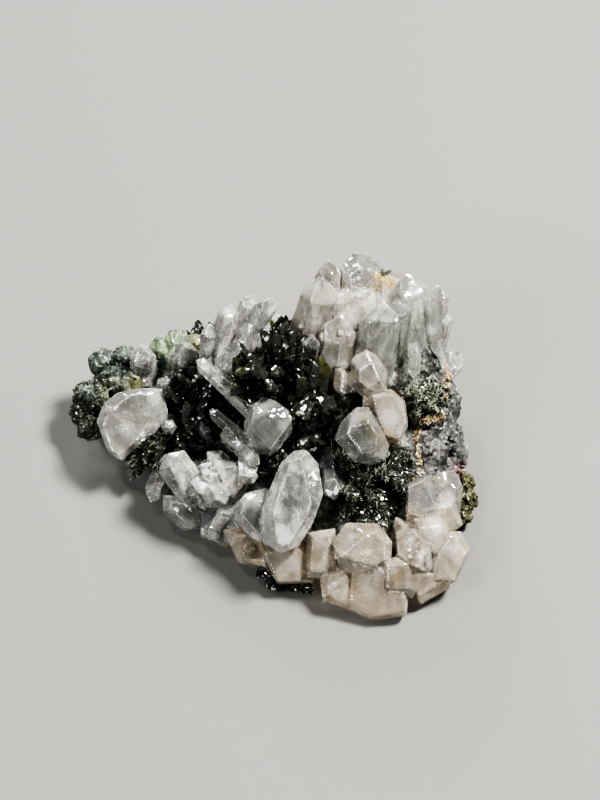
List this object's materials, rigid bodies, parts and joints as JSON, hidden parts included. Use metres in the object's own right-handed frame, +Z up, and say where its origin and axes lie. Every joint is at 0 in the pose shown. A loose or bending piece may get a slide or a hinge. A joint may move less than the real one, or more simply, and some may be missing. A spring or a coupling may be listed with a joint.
{
  "type": "epidote with quartz mineral specimen",
  "caption": "Cluster of clear and milky quartz crystals with black-green epidote sprays and chlorite lumps, grown on altered rock that rests on its flat cut.",
  "frame": {"origin": "middle of the footprint, on the flat cut that the specimen rests on", "axes": "+Z up, square to the flat cut; +X to the right along the long side of the crystal face, which looks towards -Y and up"},
  "size_m": [0.041, 0.0346, 0.0214],
  "materials": {
    "clear_quartz": "clear to faintly milky quartz, glossy faces with fine growth steps and inner veils",
    "milky_quartz": "translucent milky to warm beige quartz, glossy, frosted on its broken facets",
    "epidote": "black-green epidote blades, glassy, with olive edges where light comes through",
    "chlorite": "dull grey-green chlorite, fine grained and rough",
    "host_rock": "matt dark grey altered rock with rusty stains"
  },
  "bodies": {
    "root": {"chlorite_back_lumps": "chlorite", "chlorite_left_edge": "chlorite", "chlorite_pale_lumps": "chlorite", "chlorite_right_edge": "chlorite", "chlorite_upper_left": "chlorite", "epidote_back_high": "epidote", "epidote_back_wing": "epidote", "epidote_bottom_leaf": "epidote", "epidote_centre_spray": "epidote", "epidote_hollow_spray": "epidote", "epidote_lower_tuft": "epidote", "epidote_middle_spray": "epidote", "epidote_right_mat": "epidote", "epidote_right_patch": "epidote", "epidote_small_spray": "epidote", "matrix_rock": "host_rock", "quartz_back_foot": "clear_quartz", "quartz_back_left": "clear_quartz", "quartz_back_low": "clear_quartz", "quartz_back_middle": "clear_quartz", "quartz_back_peak": "clear_quartz", "quartz_back_shoulder": "clear_quartz", "quartz_bead_by_spray": "clear_quartz", "quartz_bead_left": "clear_quartz", "quartz_beige_front": "milky_quartz", "quartz_centre_group": "clear_quartz", "quartz_chip_left": "clear_quartz", "quartz_crown": "milky_quartz", "quartz_dim_foot": "clear_quartz", "quartz_front_crust": "milky_quartz", "quartz_front_pair": "clear_quartz", "quartz_grey_knob": "clear_quartz", "quartz_hollow_left": "clear_quartz", "quartz_hollow_middle": "clear_quartz", "quartz_left_fan": "clear_quartz", "quartz_left_plate": "clear_quartz", "quartz_lower_left": "clear_quartz", "quartz_pyramid_left": "clear_quartz", "quartz_right_pair": "clear_quartz", "quartz_right_points": "clear_quartz", "quartz_shadow_point": "clear_quartz", "quartz_side_low": "clear_quartz", "quartz_sparkle_left": "clear_quartz", "quartz_wing_back": "clear_quartz"}
  },
  "joints": []
}
